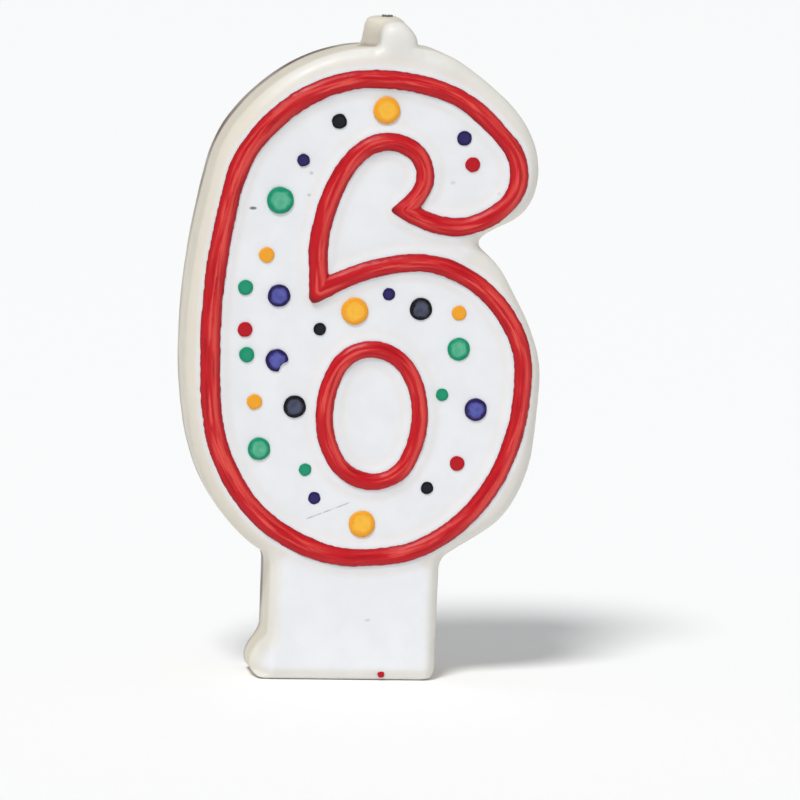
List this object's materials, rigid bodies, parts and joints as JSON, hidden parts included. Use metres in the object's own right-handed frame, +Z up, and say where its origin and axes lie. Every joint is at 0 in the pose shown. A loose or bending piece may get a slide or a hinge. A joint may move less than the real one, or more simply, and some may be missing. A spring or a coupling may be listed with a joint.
{
  "type": "number birthday candle",
  "caption": "Moulded wax numeral six with a red raised outline, coloured dots, a wick stub on top and a flat stem that is pushed into a cake.",
  "frame": {"origin": "centre of the stem's flat bottom face", "axes": "+Z up the candle, the decorated front faces -Y, +X to the right of the numeral as it is read"},
  "size_m": [0.0426, 0.0109, 0.0792],
  "materials": {
    "wax_white": "satin paraffin wax, slightly translucent",
    "wax_red": "glossy hand-painted red wax",
    "wax_yellow": "satin yellow wax",
    "wax_green": "satin green wax",
    "wax_blue": "satin navy wax",
    "wax_black": "satin black wax",
    "wick_cotton": "braided waxed cotton"
  },
  "bodies": {
    "root": {"wax_body": "wax_white", "wick": "wick_cotton", "outline_bead": "wax_red", "counter_bead": "wax_red", "dot_01_yellow_large": "wax_yellow", "dot_02_black_small": "wax_black", "dot_03_blue_small": "wax_blue", "dot_04_blue_tiny": "wax_blue", "dot_05_red_small": "wax_red", "dot_06_green_large": "wax_green", "dot_07_yellow_small": "wax_yellow", "dot_08_green_small": "wax_green", "dot_09_blue_medium": "wax_blue", "dot_10_blue_tiny": "wax_blue", "dot_11_yellow_large": "wax_yellow", "dot_12_black_medium": "wax_black", "dot_13_yellow_small": "wax_yellow", "dot_14_red_small": "wax_red", "dot_15_black_tiny": "wax_black", "dot_16_green_medium": "wax_green", "dot_17_green_small": "wax_green", "dot_18_blue_medium": "wax_blue", "dot_19_green_tiny": "wax_green", "dot_20_yellow_small": "wax_yellow", "dot_21_black_medium": "wax_black", "dot_22_blue_medium": "wax_blue", "dot_23_green_medium": "wax_green", "dot_24_red_small": "wax_red", "dot_25_green_tiny": "wax_green", "dot_26_black_tiny": "wax_black", "dot_27_blue_tiny": "wax_blue", "dot_28_yellow_large": "wax_yellow"}
  },
  "joints": []
}
